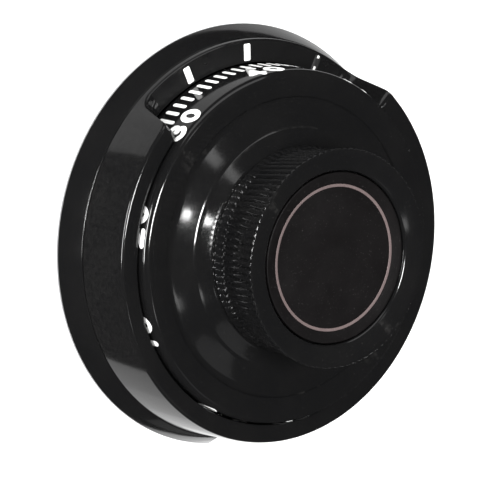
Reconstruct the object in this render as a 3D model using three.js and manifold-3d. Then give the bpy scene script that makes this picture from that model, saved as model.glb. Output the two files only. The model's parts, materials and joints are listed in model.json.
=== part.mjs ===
// A round enlarger timer. Millimetres, +Z along the dial's axis towards the knob, +Y towards 12 o'clock.
import * as THREE from "three";
import { mergeVertices } from "three/addons/utils/BufferGeometryUtils.js";
import Module from "manifold-3d";

const wasm = await Module();
wasm.setup();

// ---------------------------------------------------------------- driving dimensions
const FIT = 0.3; // gap between pieces that touch
const RUNNING = 0.1; // radial clearance of a turning shaft

const FOOT_HEIGHT = 0.8; // the rubber feet stand this far out of the base ring
const RIM_RADIUS = 75;
const RIM_TOP_RADIUS = 70.9;
const RIM_TOP_Z = 10;
const COLLAR_RADIUS = 70.8; // at the collar's foot
const LIP_RADIUS = 69.5;
const LIP_INNER_RADIUS = 63.1;
const LIP_Z = 31; // at the lip's outer edge
const LIP_INNER_Z = 31.05;
const FLOOR_Z = 12.8; // top of the floor round the drum, and the bottom of the window
const FLOOR_THICKNESS = 2.4;
const PODIUM_Z = 18; // the floor is raised here, inside the drum
const PODIUM_RADIUS = 52;
const SCREW_BOSS_RADIUS = 3.6;
const SCREW_HOLE_RADIUS = 1.5;
const SCREW_SHANK_RADIUS = 1.2;

const COVER_Z = 1.6;
const COVER_TOP_Z = 3.7;
const COVER_RADIUS = 70;
const COVER_RECESS_RADIUS = 71.8; // the base ring's underside is open inside this radius
const SPIGOT_RADIUS = 68.1; // the cover's raised wall stands inside the base ring up to here
const SPIGOT_TOP_Z = 7.7;
const SKIRT_RADIUS = 66.6;

const WINDOW_HALF_ANGLE_FLOOR = 41; // degrees from 12 o'clock
const WINDOW_HALF_ANGLE_LIP = 45.2;
const WINDOW_FOOT_ROUNDING = 5.4; // how far each rounded corner of the window reaches along its sides
const WINDOW_HEAD_ROUNDING = 1.6;
const MARK_ANGLES = { left: -22.8, centre: 0, right: 27.3 }; // clockwise from 12 o'clock
const MARK_END_RADIUS = 69.3; // the outer ends of the marks
const MARK_LENGTH = 6;
const MARK_WIDTH = 2.7;

const NOTCH_WIDTH_BOTTOM = 22.4; // the gap for the leads, at 6 o'clock
const NOTCH_WIDTH_TOP = 29;

const DRUM_RADIUS = 62.3;
const DRUM_WALL = 2.5;
const DRUM_BACK_Z = 13.4;
const DRUM_FACE_Z = 34.6; // where the rounded edge runs into the face
const DRUM_EDGE_ROUND = 2.4;
const DISC_EDGE_Z = 34.2; // the outer edge of the dished disc
const DISC_STEP_RADIUS = 42.3; // a small step between the two rings of the dish
const DISC_SEAT_Z = 38.8; // where the knob stands on the disc

const KNOB_FOOT_RADIUS = 35.4;
const KNOB_FLARE_RADIUS = 37.6; // the knob widens quickly up to here, then slowly
const KNOB_FLARE_HEIGHT = 8;
const KNOB_RADIUS = 38.4;
const KNOB_Z = 61.8; // top of the whole timer
const KNOB_RECESS_RADIUS = 30.2;
const CAP_RADIUS = 29.8;
const RING_RADIUS = 25.3;
const RING_WIDTH = 1.35;

const SPINDLE_RADIUS = 4;
const SPINDLE_BORE = 1.9;
const BUSH_RADIUS = 7;
const ROD_RADIUS = 1.6;

const PLATE_RADIUS = 47;
const PLATE_THICKNESS = 1.2;
const FRONT_PLATE_Z = 29.4;
const PILLAR_RADIUS_AT = 43; // distance of the pillars from the axis
const PILLAR_ANGLES = [20, 110, 200, 290];

const MAIN_TEETH = 60;
const SECOND_PINION_TEETH = 12;
const MAIN_MODULE = 0.8;
const SECOND_TEETH = 40;
const ESCAPE_PINION_TEETH = 10;
const SECOND_MODULE = 0.6;
const ESCAPE_TEETH = 15;
const ESCAPE_RADIUS = 9;

const STOP_HALF_ANGLE = 2.5; // half of each stop lug's width, in degrees
const DIAL_TO_STOP = 148.5; // how far the dial turns back from rest to reading zero

// ---------------------------------------------------------------- helpers
const SHELL_SIDES = 60; // sides of the large round shells
const KNOB_SIDES = 48;
const radians = THREE.MathUtils.degToRad;
const polar = (radius, degrees) => [radius * Math.cos(radians(degrees)), radius * Math.sin(radians(degrees))];

const hexagon = (radius) => [0, 60, 120, 180, 240, 300].map((angle) => polar(radius, angle));

// The closed surface of a geometry, with its shared vertices merged.
function solid(geometry) {
  const bare = geometry.clone();
  bare.deleteAttribute("normal");
  bare.deleteAttribute("uv");
  const merged = mergeVertices(bare, 1e-4);
  return new wasm.Manifold(
    new wasm.Mesh({
      numProp: 3,
      vertProperties: new Float32Array(merged.attributes.position.array),
      triVerts: new Uint32Array(merged.index.array),
    }),
  );
}

function surface(manifold) {
  const mesh = manifold.getMesh();
  const geometry = new THREE.BufferGeometry();
  geometry.setAttribute("position", new THREE.BufferAttribute(mesh.vertProperties, 3));
  geometry.setIndex(new THREE.BufferAttribute(mesh.triVerts, 1));
  const flat = geometry.toNonIndexed();
  flat.computeVertexNormals();
  return flat;
}

const join = (...pieces) => surface(pieces.map(solid).reduce((a, b) => a.add(b)));
const cut = (piece, ...tools) => surface(tools.map(solid).reduce((a, b) => a.subtract(b), solid(piece)));

// A ring or disc about the Z axis from its closed (radius, z) outline.
function turned(outline, segments = 24) {
  const points = outline.map(([r, z]) => new THREE.Vector2(r, z));
  const onAxis = points[0].x === 0 && points[points.length - 1].x === 0;
  if (!onAxis) points.push(points[0].clone());
  const geometry = new THREE.LatheGeometry(points, segments);
  geometry.rotateX(Math.PI / 2); // the lathe turns about Y, and this brings its axis to +Z
  return geometry;
}

// A cylinder about a line parallel to Z, with an optional bore.
function rod(radius, z0, z1, { at = [0, 0], bore = 0, segments = 24 } = {}) {
  const outline = bore
    ? [[bore, z0], [radius, z0], [radius, z1], [bore, z1]]
    : [[0, z0], [radius, z0], [radius, z1], [0, z1]];
  return turned(outline, segments).translate(at[0], at[1], 0);
}

function box(x0, x1, y0, y1, z0, z1) {
  return new THREE.BoxGeometry(x1 - x0, y1 - y0, z1 - z0).translate((x0 + x1) / 2, (y0 + y1) / 2, (z0 + z1) / 2);
}

// A flat plate from an outline of (x, y) points and round holes.
function plate(points, z0, z1, holes = [], holeSegments = 12) {
  const shape = new THREE.Shape(points.map(([x, y]) => new THREE.Vector2(x, y)));
  for (const { at, radius } of holes) {
    const ring = [];
    for (let i = 0; i < holeSegments; i++) {
      const [x, y] = polar(radius, (-360 * i) / holeSegments);
      ring.push(new THREE.Vector2(at[0] + x, at[1] + y));
    }
    shape.holes.push(new THREE.Path(ring));
  }
  return new THREE.ExtrudeGeometry(shape, { depth: z1 - z0, bevelEnabled: false }).translate(0, 0, z0);
}

// A block bent round the Z axis, whose ends lean from one angle at its bottom to another at its top.
function bentBlock(r0, r1, z0, z1, halfBottom, halfTop, centre = 90, steps = 24) {
  const geometry = new THREE.BoxGeometry(1, 1, 1, steps, 1, 1);
  const position = geometry.attributes.position;
  for (let i = 0; i < position.count; i++) {
    const high = position.getZ(i) > 0;
    const half = high ? halfTop : halfBottom;
    const [x, y] = polar(position.getY(i) > 0 ? r1 : r0, centre - 2 * half * position.getX(i));
    position.setXYZ(i, x, y, high ? z1 : z0);
  }
  return geometry;
}

// A spur gear's outline: straight-sided teeth, thin enough to leave backlash.
function gearOutline(teeth, module, turn = 0) {
  const pitch = (teeth * module) / 2;
  const step = 360 / teeth;
  const levels = [
    [pitch - 1.15 * module, 0.32],
    [pitch + 0.85 * module, 0.1],
  ];
  const points = [];
  for (let i = 0; i < teeth; i++) {
    for (const [radius, half] of levels) points.push(polar(radius, turn + step * (i - half)));
    for (const [radius, half] of levels.toReversed()) points.push(polar(radius, turn + step * (i + half)));
  }
  return points;
}

// A flat spiral strip about the Z axis.
function spiral(r0, r1, turns, thickness, z0, z1, stepsPerTurn = 14) {
  const steps = Math.round(turns * stepsPerTurn);
  const inner = [];
  const outer = [];
  for (let i = 0; i <= steps; i++) {
    const radius = r0 + ((r1 - r0) * i) / steps;
    const angle = (360 * turns * i) / steps;
    inner.push(polar(radius - thickness / 2, angle));
    outer.unshift(polar(radius + thickness / 2, angle));
  }
  return plate([...outer, ...inner].toReversed(), z0, z1);
}

const materials = {
  black: new THREE.MeshStandardMaterial({ color: 0x141414, roughness: 0.15, metalness: 0 }),
  cap: new THREE.MeshStandardMaterial({ color: 0x1a1718, roughness: 0.4, metalness: 0 }),
  white: new THREE.MeshStandardMaterial({ color: 0xf2f2ee, roughness: 0.5, metalness: 0 }),
  trim: new THREE.MeshStandardMaterial({ color: 0xa59292, roughness: 0.35, metalness: 1 }),
  rubber: new THREE.MeshStandardMaterial({ color: 0x1d1d1d, roughness: 0.9, metalness: 0 }),
  brass: new THREE.MeshStandardMaterial({ color: 0xb5923f, roughness: 0.35, metalness: 1 }),
  steel: new THREE.MeshStandardMaterial({ color: 0x9a9da0, roughness: 0.3, metalness: 1 }),
  phenolic: new THREE.MeshStandardMaterial({ color: 0x3a2c22, roughness: 0.6, metalness: 0 }),
};

const timer = new THREE.Group();
timer.name = "enlarger_timer";

function add(name, geometry, material) {
  const mesh = new THREE.Mesh(geometry, materials[material]);
  mesh.name = name;
  timer.add(mesh);
}

// ---------------------------------------------------------------- housing
// The gap for the leads: it is cut through the foot ring and the back cover.
function notchTool() {
  const low = NOTCH_WIDTH_BOTTOM / 2;
  const high = NOTCH_WIDTH_TOP / 2;
  const tool = plate([[-low, -1], [low, -1], [high, RIM_TOP_Z + 1], [-high, RIM_TOP_Z + 1]], 0, 16);
  return tool.rotateX(Math.PI / 2).translate(0, 1 - SKIRT_RADIUS, 0);
}

function buildBaseRing() {
  const ring = turned(
    [
      [COVER_RECESS_RADIUS, FOOT_HEIGHT],
      [RIM_RADIUS, FOOT_HEIGHT],
      [RIM_TOP_RADIUS + 0.3, RIM_TOP_Z - 0.9],
      [RIM_TOP_RADIUS, RIM_TOP_Z - 0.3],
      [RIM_TOP_RADIUS - 0.5, RIM_TOP_Z],
      [SKIRT_RADIUS + 0.4, RIM_TOP_Z],
      [SKIRT_RADIUS + 0.4, SPIGOT_TOP_Z + FIT],
      [SPIGOT_RADIUS + FIT, SPIGOT_TOP_Z + FIT],
    ],
    SHELL_SIDES,
  );
  add("base_ring", cut(ring, notchTool()), "black");
}

// The window's lower edge as [degrees from 12 o'clock, z], from its middle out to one end, with rounded corners.
function windowEdge() {
  const radius = (LIP_RADIUS + LIP_INNER_RADIUS) / 2;
  const foot = [radians(WINDOW_HALF_ANGLE_FLOOR) * radius, FLOOR_Z];
  const head = [radians(WINDOW_HALF_ANGLE_LIP) * radius, LIP_Z];
  const slope = new THREE.Vector2(head[0] - foot[0], head[1] - foot[1]).normalize();
  const along = ([x, z], distance) => [x + slope.x * distance, z + slope.y * distance];
  const points = [];
  for (let angle = 0; angle < WINDOW_HALF_ANGLE_FLOOR - 8; angle += 4) points.push([radians(angle) * radius, FLOOR_Z]);
  const corner = (before, at, after) => {
    const curve = new THREE.QuadraticBezierCurve(...[before, at, after].map(([x, z]) => new THREE.Vector2(x, z)));
    for (const point of curve.getPoints(5)) points.push([point.x, point.y]);
  };
  corner([foot[0] - WINDOW_FOOT_ROUNDING, FLOOR_Z], foot, along(foot, WINDOW_FOOT_ROUNDING));
  corner(along(head, -WINDOW_HEAD_ROUNDING), head, [head[0] + WINDOW_HEAD_ROUNDING, LIP_Z]);
  points.push([head[0] + WINDOW_HEAD_ROUNDING + 2, LIP_INNER_Z + 0.5]);
  return points.map(([x, z]) => [THREE.MathUtils.radToDeg(x / radius), z]);
}

// The space of the window: a bent block whose underside follows the window's edge.
function windowTool() {
  const half = windowEdge();
  const edge = [...half.slice(1).toReversed().map(([angle, z]) => [-angle, z]), ...half];
  const geometry = new THREE.BoxGeometry(edge.length - 1, 1, 1, edge.length - 1, 1, 1);
  const position = geometry.attributes.position;
  for (let i = 0; i < position.count; i++) {
    const [angle, low] = edge[Math.round(position.getX(i) + (edge.length - 1) / 2)];
    const [x, y] = polar(position.getY(i) > 0 ? RIM_RADIUS : LIP_INNER_RADIUS - 0.5, 90 - angle);
    position.setXYZ(i, x, y, position.getZ(i) > 0 ? LIP_INNER_Z + 1 : low);
  }
  return geometry;
}

const COVER_SCREW_AT = [45, 135, 225, 315].map((angle) => polar(56, angle));
const GLANDS = { mains: -6, lamp: 6 }; // x of each gland
const GLAND_Z = 6.9;
const STOP_LUG_ANGLE = 60; // where the floor's stop lug stands, counter-clockwise from 3 o'clock

function buildHousing() {
  const underside = FLOOR_Z - FLOOR_THICKNESS;
  const shell = turned(
    [
      [BUSH_RADIUS + FIT, PODIUM_Z - FLOOR_THICKNESS],
      [PODIUM_RADIUS - 3, PODIUM_Z - FLOOR_THICKNESS],
      [PODIUM_RADIUS - 2, underside],
      [SKIRT_RADIUS - 4, underside],
      [SKIRT_RADIUS - 4, COVER_TOP_Z + FIT],
      [SKIRT_RADIUS, COVER_TOP_Z + FIT],
      [SKIRT_RADIUS, RIM_TOP_Z + FIT],
      [COLLAR_RADIUS, RIM_TOP_Z + FIT],
      [LIP_RADIUS + 0.1, LIP_Z - 0.9],
      [LIP_RADIUS - 0.2, LIP_Z - 0.3],
      [LIP_RADIUS - 0.8, LIP_Z],
      [LIP_INNER_RADIUS + 0.3, LIP_INNER_Z],
      [LIP_INNER_RADIUS, LIP_INNER_Z - 0.3],
      [LIP_INNER_RADIUS, FLOOR_Z],
      [PODIUM_RADIUS + 1, FLOOR_Z],
      [PODIUM_RADIUS, PODIUM_Z],
      [BUSH_RADIUS + FIT, PODIUM_Z],
    ],
    SHELL_SIDES,
  );
  const lug = bentBlock(
    PODIUM_RADIUS - 1, 57, FLOOR_Z - 1, FLOOR_Z + 3.7, STOP_HALF_ANGLE, STOP_HALF_ANGLE, STOP_LUG_ANGLE, 1,
  );
  const bossTop = underside + 0.5;
  const bosses = COVER_SCREW_AT.map((at) => rod(SCREW_BOSS_RADIUS, COVER_TOP_Z + FIT, bossTop, { at, segments: 16 }));
  const pilots = COVER_SCREW_AT.map((at) => rod(SCREW_HOLE_RADIUS, 0, underside - 0.8, { at, segments: 12 }));
  const glandHoles = Object.values(GLANDS).map((x) => box(x - 4.3, x + 4.3, -70, -55, GLAND_Z - 2.9, GLAND_Z + 2.9));
  const whole = join(shell, lug, ...bosses);
  add("housing_shell", cut(whole, windowTool(), ...pilots, ...glandHoles), "black");
}

function buildMarks() {
  for (const [name, angle] of Object.entries(MARK_ANGLES)) {
    const mark = box(-MARK_WIDTH / 2, MARK_WIDTH / 2, -MARK_LENGTH, 0, FLOOR_Z, FLOOR_Z + 0.35);
    mark.translate(0, MARK_END_RADIUS, 0).rotateZ(radians(-angle));
    add("index_mark_" + name, mark, "white");
  }
}

function buildBack() {
  const cover = turned(
    [
      [0, COVER_Z],
      [COVER_RADIUS, COVER_Z],
      [COVER_RADIUS, COVER_TOP_Z],
      [SPIGOT_RADIUS, COVER_TOP_Z],
      [SPIGOT_RADIUS, SPIGOT_TOP_Z],
      [SKIRT_RADIUS + 0.5, SPIGOT_TOP_Z],
      [SKIRT_RADIUS + 0.5, COVER_TOP_Z],
      [0, COVER_TOP_Z],
    ],
    SHELL_SIDES,
  );
  const holes = COVER_SCREW_AT.map((at) => rod(SCREW_HOLE_RADIUS, 0, COVER_TOP_Z + 1, { at, segments: 12 }));
  const sinks = COVER_SCREW_AT.map((at) => rod(3.1, 0, COVER_Z + 1.3, { at, segments: 16 }));
  add("back_cover", cut(cover, notchTool(), ...holes, ...sinks), "black");
  COVER_SCREW_AT.forEach((at, i) => {
    const head = rod(2.8, COVER_Z + 0.1, COVER_Z + 1.2, { at, segments: 16 });
    const shank = rod(SCREW_SHANK_RADIUS, COVER_Z + 1, FLOOR_Z - FLOOR_THICKNESS - 1.2, { at, segments: 12 });
    const slot = box(at[0] - 3, at[0] + 3, at[1] - 0.4, at[1] + 0.4, COVER_Z, COVER_Z + 0.6);
    add("cover_screw_" + (i + 1), cut(join(head, shank), slot), "steel");
  });
  [0, 90, 180, 270].forEach((angle, i) => {
    const at = polar(58, angle);
    add("foot_" + (i + 1), rod(5, 0, COVER_Z, { at, segments: 24 }), "rubber");
  });
}

function buildGlands() {
  for (const [name, x] of Object.entries(GLANDS)) {
    const body = box(x - 4, x + 4, -66.9, -61, GLAND_Z - 2.6, GLAND_Z + 2.6);
    const flange = box(x - 5.2, x + 5.2, -68.2, -66.9, GLAND_Z - 3, GLAND_Z + 3);
    const way = box(x - 2.7, x + 2.7, -80, -50, GLAND_Z - 1.7, GLAND_Z + 1.7);
    add("cable_gland_" + name, cut(join(body, flange), way), "rubber");
  }
}

// ---------------------------------------------------------------- dial, knob and start button
function buildDrum() {
  const centre = [DRUM_RADIUS - DRUM_EDGE_ROUND, DRUM_FACE_Z - DRUM_EDGE_ROUND];
  const edge = [0, 45, 90].map((angle) => {
    const [r, z] = polar(DRUM_EDGE_ROUND, angle);
    return [centre[0] + r, centre[1] + z];
  });
  const drum = turned(
    [
      [DRUM_RADIUS - DRUM_WALL, DRUM_BACK_Z],
      [DRUM_RADIUS, DRUM_BACK_Z],
      ...edge,
      [53.1, DISC_EDGE_Z],
      [52.7, DISC_EDGE_Z - 0.35],
      [49, DISC_EDGE_Z + 0.35],
      [DISC_STEP_RADIUS + 0.2, DISC_EDGE_Z + 2.5],
      [DISC_STEP_RADIUS, DISC_EDGE_Z + 2.9],
      [39.2, DISC_EDGE_Z + 3.8],
      [36.6, DISC_SEAT_Z],
      [SPINDLE_RADIUS + FIT, DISC_SEAT_Z],
      [SPINDLE_RADIUS + FIT, DISC_SEAT_Z - 2.9],
      [36, DISC_SEAT_Z - 2.9],
      [50, DISC_EDGE_Z - 2.5],
      [57.5, DISC_EDGE_Z - 2.5],
      [DRUM_RADIUS - DRUM_WALL, DISC_EDGE_Z - 4],
    ],
    SHELL_SIDES,
  );
  const lugAngle = STOP_LUG_ANGLE + DIAL_TO_STOP + 2 * STOP_HALF_ANGLE + 0.5;
  const lug = bentBlock(
    PODIUM_RADIUS + 1.6, DRUM_RADIUS - 1, DRUM_BACK_Z + 1, DRUM_BACK_Z + 5, STOP_HALF_ANGLE, STOP_HALF_ANGLE, lugAngle, 1,
  );
  add("dial_drum", join(drum, lug), "black");
}

function buildKnob() {
  const seat = DISC_SEAT_Z + FIT;
  const knob = turned(
    [
      [33.2, seat],
      [KNOB_FOOT_RADIUS, seat],
      [KNOB_FLARE_RADIUS, seat + KNOB_FLARE_HEIGHT],
      [KNOB_RADIUS, KNOB_Z - 0.7],
      [KNOB_RADIUS - 0.5, KNOB_Z],
      [KNOB_RADIUS - 1.4, KNOB_Z],
      [KNOB_RECESS_RADIUS + 0.7, KNOB_Z - 1.3],
      [KNOB_RECESS_RADIUS, KNOB_Z - 1.7],
      [KNOB_RECESS_RADIUS, KNOB_Z - 7.3],
      [13, KNOB_Z - 7.3],
      [13, seat + 7.4],
      [SPINDLE_RADIUS + FIT, seat + 7.4],
      [SPINDLE_RADIUS + FIT, seat],
      [15.5, seat],
      [15.5, KNOB_Z - 10.3],
      [33.2, KNOB_Z - 10.3],
    ],
    KNOB_SIDES,
  );
  add("knob", knob, "black");
}

const SPRING_SEAT_Z = DISC_SEAT_Z + FIT + 7.4;
const CAP_BACK_Z = KNOB_Z - 4.2;
const ROD_END_Z = 11.8;

function buildButton() {
  const cap = turned(
    [
      [SPINDLE_BORE, CAP_BACK_Z - 4.1],
      [4.2, CAP_BACK_Z - 4.1],
      [4.2, CAP_BACK_Z],
      [CAP_RADIUS, CAP_BACK_Z],
      [CAP_RADIUS, KNOB_Z - 1.9],
      [CAP_RADIUS - 0.4, KNOB_Z - 1.6],
      [RING_RADIUS + RING_WIDTH / 2 + FIT, KNOB_Z - 2.3],
      [RING_RADIUS + RING_WIDTH / 2 + FIT, KNOB_Z - 3.2],
      [RING_RADIUS - RING_WIDTH / 2 - FIT, KNOB_Z - 3.2],
      [RING_RADIUS - RING_WIDTH / 2 - FIT, KNOB_Z - 2.5],
      [0, KNOB_Z - 2.9],
      [0, CAP_BACK_Z - 0.1],
      [SPINDLE_BORE, CAP_BACK_Z - 0.1],
    ],
    KNOB_SIDES,
  );
  add("button_cap", cap, "cap");
  const half = RING_WIDTH / 2;
  const ring = turned(
    [
      [RING_RADIUS - half, KNOB_Z - 3.2],
      [RING_RADIUS + half, KNOB_Z - 3.2],
      [RING_RADIUS + half, KNOB_Z - 2.3],
      [RING_RADIUS - half, KNOB_Z - 2.4],
    ],
    KNOB_SIDES,
  );
  add("cap_ring", ring, "trim");
  add("push_rod", rod(ROD_RADIUS, ROD_END_Z, CAP_BACK_Z - FIT, { segments: 16 }), "steel");

  const coils = 4;
  const steps = coils * 11;
  const section = new THREE.Shape(hexagon(0.45).map(([x, y]) => new THREE.Vector2(x, y)));
  const path = [];
  const z0 = SPRING_SEAT_Z + 0.7;
  const z1 = CAP_BACK_Z - 0.7;
  for (let i = 0; i <= steps; i++) {
    const [x, y] = polar(10, (360 * coils * i) / steps);
    path.push(new THREE.Vector3(x, y, z0 + ((z1 - z0) * i) / steps));
  }
  const spring = new THREE.ExtrudeGeometry(section, {
    steps,
    bevelEnabled: false,
    extrudePath: new THREE.CatmullRomCurve3(path),
  });
  add("return_spring", spring, "steel");
}

function buildSpindle() {
  const spindle = turned(
    [
      [SPINDLE_BORE, 12.4],
      [SPINDLE_RADIUS, 12.4],
      [SPINDLE_RADIUS, 33.9],
      [9, 33.9],
      [9, 35.6],
      [SPINDLE_RADIUS, 35.6],
      [SPINDLE_RADIUS, 50.4],
      [SPINDLE_BORE, 50.4],
    ],
    24,
  );
  add("spindle", spindle, "steel");
  const bush = turned(
    [
      [SPINDLE_RADIUS + RUNNING, 15],
      [BUSH_RADIUS, 15],
      [BUSH_RADIUS, PODIUM_Z],
      [9, PODIUM_Z],
      [9, PODIUM_Z + 0.9],
      [SPINDLE_RADIUS + RUNNING, PODIUM_Z + 0.9],
    ],
    24,
  );
  add("spindle_bush", bush, "brass");
  const hole = [{ at: [0, 0], radius: SPINDLE_RADIUS + FIT }];
  add("knob_nut", plate(hexagon(6.4), SPRING_SEAT_Z, SPRING_SEAT_Z + 3, hole, 24), "brass");
  add("spindle_clip", rod(6, 12.5, 13, { bore: SPINDLE_RADIUS + FIT }), "steel");
}

// ---------------------------------------------------------------- clockwork
const MAIN_CENTRES = ((MAIN_TEETH + SECOND_PINION_TEETH) * MAIN_MODULE) / 2 + 0.12;
const SECOND_CENTRES = ((SECOND_TEETH + ESCAPE_PINION_TEETH) * SECOND_MODULE) / 2 + 0.1;
const sum = (a, b) => [a[0] + b[0], a[1] + b[1]];
const SECOND_AT = [MAIN_CENTRES, 0];
const ESCAPE_ANGLE = 100; // direction from the second arbor to the escape arbor
const ESCAPE_AT = sum(SECOND_AT, polar(SECOND_CENTRES, ESCAPE_ANGLE));
const PALLET_ANGLE = 130;
const PALLET_AT = sum(ESCAPE_AT, polar(12.5, PALLET_ANGLE));
const BALANCE_ANGLE = 172;
const BALANCE_AT = sum(PALLET_AT, polar(13, BALANCE_ANGLE));
const PIVOT_RADIUS = 1;

// A shaft between the movement's plates, with a thin pivot in each plate.
function arborParts(at) {
  return [
    rod(PIVOT_RADIUS, PODIUM_Z + 0.2, FRONT_PLATE_Z + PLATE_THICKNESS - 0.2, { at, segments: 12 }),
    rod(1.6, PODIUM_Z + PLATE_THICKNESS + FIT, FRONT_PLATE_Z - FIT, { at, segments: 12 }),
  ];
}

function buildPlates() {
  const round = [];
  for (let i = 0; i < 40; i++) round.push(polar(PLATE_RADIUS, 9 * i));
  const pivots = [SECOND_AT, ESCAPE_AT, PALLET_AT, BALANCE_AT].map((at) => ({ at, radius: PIVOT_RADIUS + RUNNING }));
  const screwHoles = PILLAR_ANGLES.map((angle) => ({ at: polar(PILLAR_RADIUS_AT, angle), radius: SCREW_HOLE_RADIUS }));
  const middle = { at: [0, 0], radius: 9.4 };
  const rear = plate(round, PODIUM_Z, PODIUM_Z + PLATE_THICKNESS, [middle, ...pivots]);
  const front = plate(round, FRONT_PLATE_Z, FRONT_PLATE_Z + PLATE_THICKNESS, [middle, ...pivots, ...screwHoles]);
  add("movement_rear_plate", rear, "brass");
  add("movement_front_plate", front, "brass");
  PILLAR_ANGLES.forEach((angle, i) => {
    const at = polar(PILLAR_RADIUS_AT, angle);
    const pillar = rod(2.6, PODIUM_Z + PLATE_THICKNESS, FRONT_PLATE_Z, { at, segments: 12 });
    const hole = rod(SCREW_HOLE_RADIUS, FRONT_PLATE_Z - 4, FRONT_PLATE_Z + 1, { at, segments: 12 });
    add("pillar_" + (i + 1), cut(pillar, hole), "brass");
    const head = rod(2.4, FRONT_PLATE_Z + PLATE_THICKNESS, FRONT_PLATE_Z + PLATE_THICKNESS + 0.9, { at, segments: 12 });
    const shankTop = FRONT_PLATE_Z + PLATE_THICKNESS + 0.1;
    const shank = rod(SCREW_SHANK_RADIUS, FRONT_PLATE_Z - 3.5, shankTop, { at, segments: 12 });
    add("plate_screw_" + (i + 1), join(head, shank), "steel");
  });
}

function buildTrain() {
  const bore = [{ at: [0, 0], radius: SPINDLE_RADIUS + FIT }];
  add("main_wheel", plate(gearOutline(MAIN_TEETH, MAIN_MODULE), 20.2, 21.8, bore, 24), "brass");
  add("mainspring", spiral(5.2, 14.5, 5, 0.6, 22.6, 28.4), "steel");

  // A gap of the pinion faces the wheel's tooth on the line of centres.
  const secondTurn = 180 + 180 / SECOND_PINION_TEETH;
  const pinion = plate(gearOutline(SECOND_PINION_TEETH, MAIN_MODULE, secondTurn), 20, 22).translate(...SECOND_AT, 0);
  add("second_arbor", join(pinion, ...arborParts(SECOND_AT)), "steel");
  const wheelBore = [{ at: [0, 0], radius: 1.6 + FIT }];
  const second = plate(gearOutline(SECOND_TEETH, SECOND_MODULE, ESCAPE_ANGLE), 23.4, 24.6, wheelBore);
  add("second_wheel", second.translate(...SECOND_AT, 0), "brass");

  const escapeTurn = ESCAPE_ANGLE + 180 + 180 / ESCAPE_PINION_TEETH;
  const escapePinion = plate(gearOutline(ESCAPE_PINION_TEETH, SECOND_MODULE, escapeTurn), 23.2, 24.8);
  add("escape_arbor", join(escapePinion.translate(...ESCAPE_AT, 0), ...arborParts(ESCAPE_AT)), "steel");
  const points = [];
  for (let i = 0; i < ESCAPE_TEETH; i++) {
    const at = (360 / ESCAPE_TEETH) * i;
    points.push(polar(ESCAPE_RADIUS - 2.2, at - 8), polar(ESCAPE_RADIUS, at), polar(ESCAPE_RADIUS, at + 1.5));
    points.push(polar(ESCAPE_RADIUS - 2.2, at + 3));
  }
  add("escape_wheel", plate(points, 25.6, 26.6, wheelBore).translate(...ESCAPE_AT, 0), "brass");
}

function buildEscapement() {
  const arch = bentBlock(ESCAPE_RADIUS + 0.65, ESCAPE_RADIUS + 2.2, 25.6, 26.6, 33, 33, PALLET_ANGLE, 10);
  arch.translate(...ESCAPE_AT, 0);
  const hub = rod(2.4, 25.6, 26.6, { at: PALLET_AT, segments: 16 });
  const tail = box(0, 8, -0.6, 0.6, 25.6, 26.6).rotateZ(radians(BALANCE_ANGLE)).translate(...PALLET_AT, 0);
  add("pallet", join(arch, hub, tail, ...arborParts(PALLET_AT)), "steel");

  const rim = rod(9.6, 27.2, 28.2, { bore: 8.2, segments: 36 });
  const spoke = box(-8.6, 8.6, -0.7, 0.7, 27.2, 28.2);
  const boss = rod(2.6, 27.2, 28.2);
  const bore = rod(1.6 + FIT, 27, 28.5, { segments: 16 });
  add("balance_wheel", cut(join(rim, spoke, boss), bore).translate(...BALANCE_AT, 0), "brass");
  add("balance_staff", join(...arborParts(BALANCE_AT)), "steel");
  add("hairspring", spiral(2.6, 6.5, 3, 0.3, 28.5, 29).translate(...BALANCE_AT, 0), "steel");
}

// ---------------------------------------------------------------- switches and wiring
const LEVER_PIVOT = [-20, 11];
const START_SWITCH_X = -12;

// A rod along the Y axis, centred on the XZ plane.
const crossRod = (radius, half, x, z, segments = 16) =>
  rod(radius, -half, half, { segments }).rotateX(Math.PI / 2).translate(x, 0, z);

function buildSwitches() {
  const [x, z] = LEVER_PIVOT;
  const roof = PODIUM_Z - FLOOR_THICKNESS;
  const bridge = box(x - 3, x + 3, -4.6, 4.6, roof - 1, roof);
  const ears = [-1, 1].map((side) => box(x - 3, x + 3, side * 4.1 - 0.5, side * 4.1 + 0.5, z - 2, roof - 0.5));
  add("lever_bracket", cut(join(bridge, ...ears), crossRod(1, 6, x, z)), "steel");
  add("lever_pin", crossRod(0.9, 5.4, x, z), "steel");
  const arm = box(x, 3, -2.5, 2.5, z - 0.4, z + 0.4);
  const knuckle = crossRod(1.9, 2.5, x, z);
  add("switch_lever", cut(join(arm, knuckle), crossRod(1, 4, x, z)), "steel");

  const casing = box(START_SWITCH_X - 5, START_SWITCH_X + 7, -4, 4, COVER_TOP_Z, 8.2);
  const well = rod(1.3, 7, 9, { at: [START_SWITCH_X, 0], segments: 16 });
  add("start_switch", cut(casing, well), "phenolic");
  add("switch_plunger", rod(1, 8, 10.3, { at: [START_SWITCH_X, 0], segments: 16 }), "white");

  const camOutline = [];
  for (let i = 0; i <= 20; i++) camOutline.push(polar(11, 17 * i + 190));
  camOutline.push(polar(9.4, 178), polar(9.4, 182));
  add("zero_cam", plate(camOutline, 13.3, 14.7, [{ at: [0, 0], radius: SPINDLE_RADIUS + FIT }], 24), "phenolic");
  const zeroCase = box(13.2, 25.2, -4, 4, 11, roof);
  const zeroPlunger = box(11.35, 13.4, -1, 1, 13.5, 14.5);
  add("zero_switch", join(zeroCase, zeroPlunger), "phenolic");

  const block = box(-15, 15, -42, -33, COVER_TOP_Z, 11);
  const wells = [-11.25, -3.75, 3.75, 11.25].map((at) => rod(1.9, 8, 12, { at: [at, -37.5], segments: 12 }));
  add("terminal_block", cut(block, ...wells), "phenolic");
}

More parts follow.
